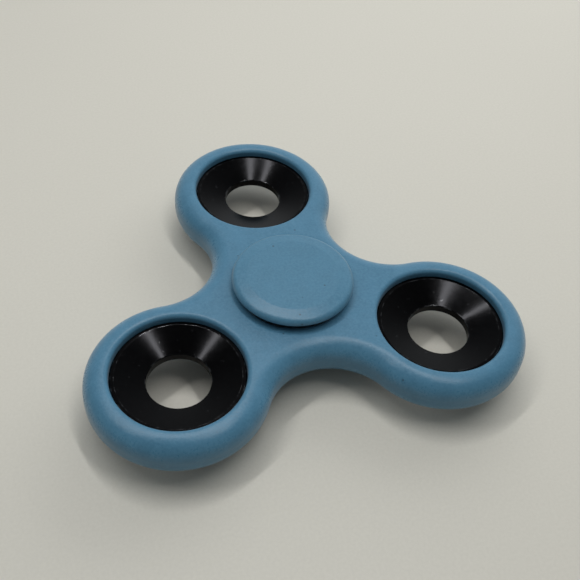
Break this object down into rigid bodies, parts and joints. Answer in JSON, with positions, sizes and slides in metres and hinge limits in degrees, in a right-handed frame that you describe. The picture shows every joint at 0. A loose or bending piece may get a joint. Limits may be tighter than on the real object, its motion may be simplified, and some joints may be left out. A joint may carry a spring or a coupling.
{
  "type": "fidget spinner",
  "caption": "Three-armed fidget spinner with round lobes, dished steel counterweights with open middles, and a flat finger cap on each side of a shielded ball bearing.",
  "frame": {"origin": "on the spin axis, in the middle of the lower finger cap's flat face, which is what the spinner stands on", "axes": "+Z along the spin axis, away from the surface it stands on; +Y towards the middle of counterweight 1; +X completes a right-handed frame"},
  "size_m": [0.0762, 0.07, 0.013],
  "materials": {
    "body_plastic": "satin moulded, slate blue",
    "cap_plastic": "satin moulded, slate blue",
    "black_plated_steel": "polished, black nickel plating",
    "bearing_steel": "ground",
    "ball_steel": "polished",
    "sheet_steel": "pressed sheet"
  },
  "bodies": {
    "hub": {"bearing_inner_race": "bearing_steel", "upper_finger_cap": "cap_plastic", "lower_finger_cap": "cap_plastic"},
    "rotor": {"spinner_body": "body_plastic", "counterweight_1": "black_plated_steel", "counterweight_2": "black_plated_steel", "counterweight_3": "black_plated_steel", "bearing_outer_race": "bearing_steel", "upper_shield": "sheet_steel", "lower_shield": "sheet_steel"},
    "cage": {"cage_upper_half": "sheet_steel", "cage_lower_half": "sheet_steel", "cage_rivet_1": "sheet_steel", "cage_rivet_2": "sheet_steel", "cage_rivet_3": "sheet_steel", "cage_rivet_4": "sheet_steel", "cage_rivet_5": "sheet_steel", "cage_rivet_6": "sheet_steel", "cage_rivet_7": "sheet_steel"},
    "bearing_ball_1": {"ball_1": "ball_steel"},
    "bearing_ball_2": {"ball_2": "ball_steel"},
    "bearing_ball_3": {"ball_3": "ball_steel"},
    "bearing_ball_4": {"ball_4": "ball_steel"},
    "bearing_ball_5": {"ball_5": "ball_steel"},
    "bearing_ball_6": {"ball_6": "ball_steel"},
    "bearing_ball_7": {"ball_7": "ball_steel"}
  },
  "joints": [
    {"name": "spin", "type": "hinge", "parent": "hub", "child": "rotor", "pos_m": [0, 0, 0.0065], "axis": [0, 0, 1], "continuous": true},
    {"name": "cage_orbit", "type": "hinge", "parent": "hub", "child": "cage", "pos_m": [0, 0, 0.0065], "axis": [0, 0, 1], "continuous": true},
    {"name": "ball_1_roll", "type": "hinge", "parent": "cage", "child": "bearing_ball_1", "pos_m": [0, 0.0075, 0.0065], "axis": [0, 0, 1], "continuous": true},
    {"name": "ball_2_roll", "type": "hinge", "parent": "cage", "child": "bearing_ball_2", "pos_m": [-0.00586, 0.00468, 0.0065], "axis": [0, 0, 1], "continuous": true},
    {"name": "ball_3_roll", "type": "hinge", "parent": "cage", "child": "bearing_ball_3", "pos_m": [-0.00731, -0.00167, 0.0065], "axis": [0, 0, 1], "continuous": true},
    {"name": "ball_4_roll", "type": "hinge", "parent": "cage", "child": "bearing_ball_4", "pos_m": [-0.00325, -0.00676, 0.0065], "axis": [0, 0, 1], "continuous": true},
    {"name": "ball_5_roll", "type": "hinge", "parent": "cage", "child": "bearing_ball_5", "pos_m": [0.00325, -0.00676, 0.0065], "axis": [0, 0, 1], "continuous": true},
    {"name": "ball_6_roll", "type": "hinge", "parent": "cage", "child": "bearing_ball_6", "pos_m": [0.00731, -0.00167, 0.0065], "axis": [0, 0, 1], "continuous": true},
    {"name": "ball_7_roll", "type": "hinge", "parent": "cage", "child": "bearing_ball_7", "pos_m": [0.00586, 0.00468, 0.0065], "axis": [0, 0, 1], "continuous": true}
  ],
  "couplings": [
    {"joint": "cage_orbit", "follows": "spin", "ratio": 0.6323},
    {"joint": "ball_1_roll", "follows": "spin", "ratio": 1.7573},
    {"joint": "ball_2_roll", "follows": "spin", "ratio": 1.7573},
    {"joint": "ball_3_roll", "follows": "spin", "ratio": 1.7573},
    {"joint": "ball_4_roll", "follows": "spin", "ratio": 1.7573},
    {"joint": "ball_5_roll", "follows": "spin", "ratio": 1.7573},
    {"joint": "ball_6_roll", "follows": "spin", "ratio": 1.7573},
    {"joint": "ball_7_roll", "follows": "spin", "ratio": 1.7573}
  ]
}
